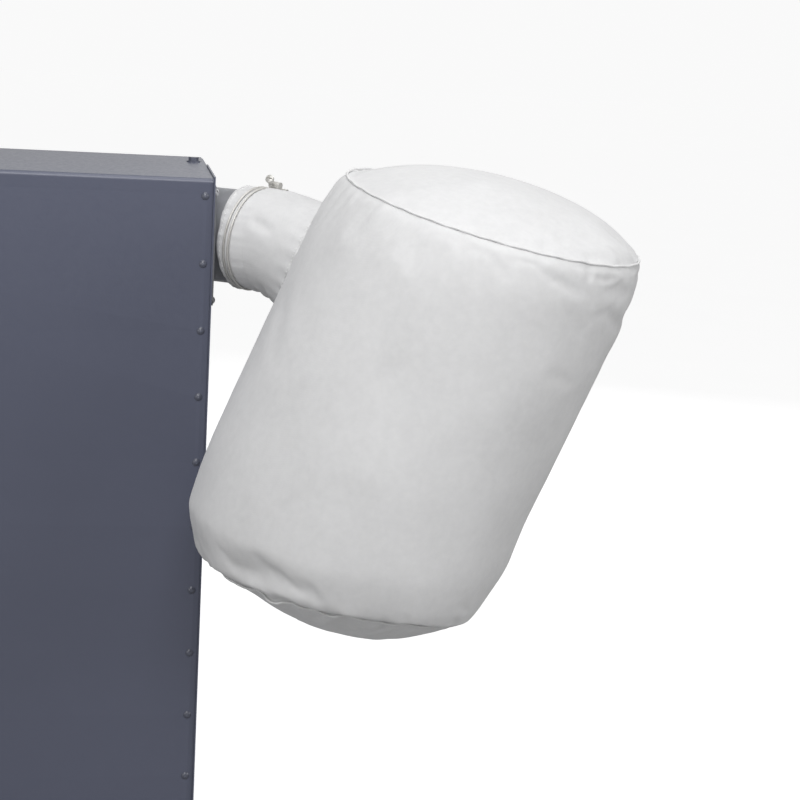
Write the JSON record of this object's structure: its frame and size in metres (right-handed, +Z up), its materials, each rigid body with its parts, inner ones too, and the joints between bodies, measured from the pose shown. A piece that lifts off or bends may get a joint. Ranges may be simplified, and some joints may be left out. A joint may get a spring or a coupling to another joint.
{
  "type": "cabinet dust collector",
  "caption": "Sheet-metal cabinet dust collector with a blower inside, an angled outlet spigot and a wire-clamped fabric filter bag.",
  "frame": {"origin": "centre of the base plate's flat underside, on the floor", "axes": "+Z up, +X to the right towards the outlet spigot and bag, -Y to the front panel"},
  "size_m": [0.8513, 0.6007, 0.7734],
  "materials": {
    "panel_paint": "satin",
    "screw_paint": "satin",
    "galvanised": "satin",
    "zinc": "satin",
    "steel": "satin",
    "copper": "gloss",
    "motor_alloy": "satin",
    "black_plastic": "matt",
    "switch_red": "gloss",
    "rubber": "matt",
    "bag_fabric": "matt"
  },
  "bodies": {
    "cabinet": {"back_panel": "panel_paint", "base_plate": "panel_paint", "cable_gland": "black_plastic", "capacitor_box": "black_plastic", "fan_cowl": "black_plastic", "flange_screws": "zinc", "foot_bolts": "zinc", "front_end_bell": "motor_alloy", "front_panel": "panel_paint", "gland_nut": "black_plastic", "inlet_screws": "zinc", "inlet_spigot": "galvanised", "left_side_panel": "panel_paint", "motor_barrel": "motor_alloy", "motor_bearings": "steel", "motor_bolts": "zinc", "motor_foot": "galvanised", "motor_shelf": "galvanised", "outlet_box": "galvanised", "outlet_flange": "galvanised", "outlet_spigot": "galvanised", "panel_screws": "screw_paint", "rear_end_bell": "motor_alloy", "right_side_panel": "panel_paint", "run_capacitor": "motor_alloy", "scroll_back_plate": "galvanised", "scroll_front_plate": "galvanised", "scroll_wrap": "galvanised", "stator_core": "steel", "stator_windings": "copper", "switch_housing": "black_plastic", "toggle_pin": "steel", "top_bolts": "screw_paint", "top_plate": "panel_paint", "vibration_mounts": "rubber"},
    "fan_rotor": {"motor_shaft": "steel", "rotor_core": "steel", "impeller": "steel", "impeller_bolt": "zinc", "cooling_fan": "black_plastic"},
    "switch_lever": {"switch_toggle": "switch_red"},
    "filter_bag": {"bag_bottom_disc": "bag_fabric", "bag_bottom_seam": "bag_fabric", "bag_neck_hem": "bag_fabric", "bag_neck_sleeve": "bag_fabric", "bag_side_wall": "bag_fabric", "bag_top_disc": "bag_fabric", "bag_top_seam": "bag_fabric", "clamp_wires": "zinc", "clamp_barrels": "zinc"},
    "clamp_screw": {"clamp_screw": "zinc"}
  },
  "joints": [
    {"name": "fan_spin", "type": "hinge", "parent": "cabinet", "child": "fan_rotor", "pos_m": [0.012, 0, 0.52], "axis": [0, 1, 0], "continuous": true},
    {"name": "switch_throw", "type": "hinge", "parent": "cabinet", "child": "switch_lever", "pos_m": [-0.095, -0.154, 0.6], "axis": [1, 0, 0], "range_deg": [0, 24]},
    {"name": "bag_pull_off", "type": "slide", "parent": "cabinet", "child": "filter_bag", "axis": [0.829, -0.5592, 0], "range_m": [0, 0.12]},
    {"name": "clamp_screw_turn", "type": "hinge", "parent": "filter_bag", "child": "clamp_screw", "pos_m": [0.25238, -0.08946, 0.72749], "axis": [-0.5038, -0.7061, 0.4976], "range_deg": [0, 1080]}
  ]
}
